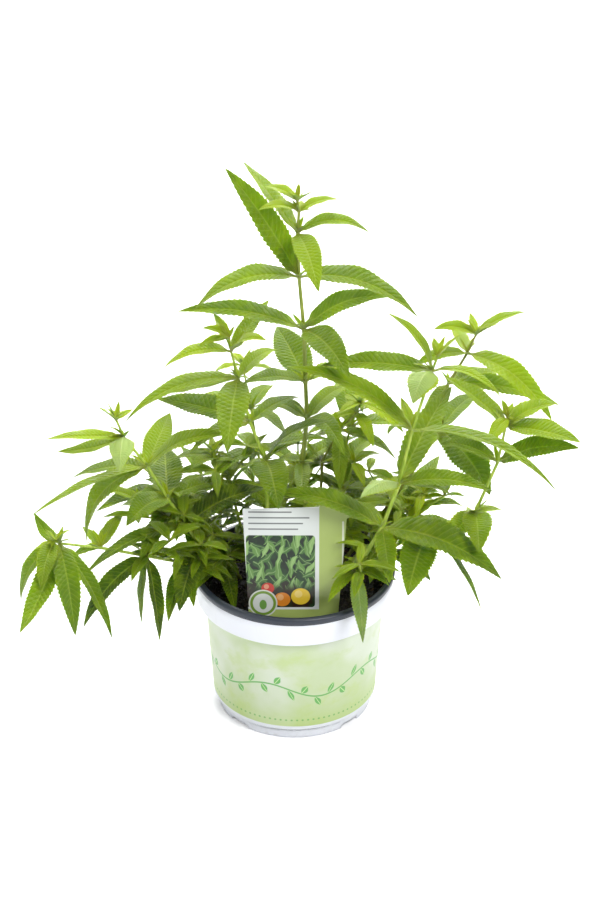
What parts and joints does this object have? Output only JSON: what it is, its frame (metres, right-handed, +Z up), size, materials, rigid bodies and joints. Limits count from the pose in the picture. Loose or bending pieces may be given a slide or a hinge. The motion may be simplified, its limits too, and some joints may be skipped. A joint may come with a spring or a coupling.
{
  "type": "lemon verbena in a nursery pot",
  "caption": "Bushy lemon verbena herb with narrow toothed leaves in whorls of three, growing in a white and green nursery pot with a plant label.",
  "frame": {"origin": "centre of the pot's base, on the surface the pot stands on", "axes": "+Z up the plant, -Y the front with the plant label, +X to the right seen from the front"},
  "size_m": [0.342, 0.198, 0.3724],
  "materials": {
    "pot_plastic": "white outside with a pale green printed band, black inside",
    "peat": "moist dark peat",
    "label_card": "printed glossy card",
    "foliage": "fresh green, slightly waxy"
  },
  "bodies": {
    "root": {"pot": "pot_plastic", "soil": "peat", "plant_label": "label_card", "stem_main": "foliage", "stem_inner_left": "foliage", "stem_left_front": "foliage", "stem_left_low": "foliage", "stem_right_front": "foliage", "stem_right_back": "foliage", "stem_back_thin": "foliage", "stem_left_small": "foliage", "stem_back_left": "foliage", "stem_back_right": "foliage", "stem_back_middle": "foliage", "stem_left_back": "foliage", "stem_left_side": "foliage", "stem_right_side": "foliage", "stem_inner_right": "foliage"}
  },
  "joints": []
}
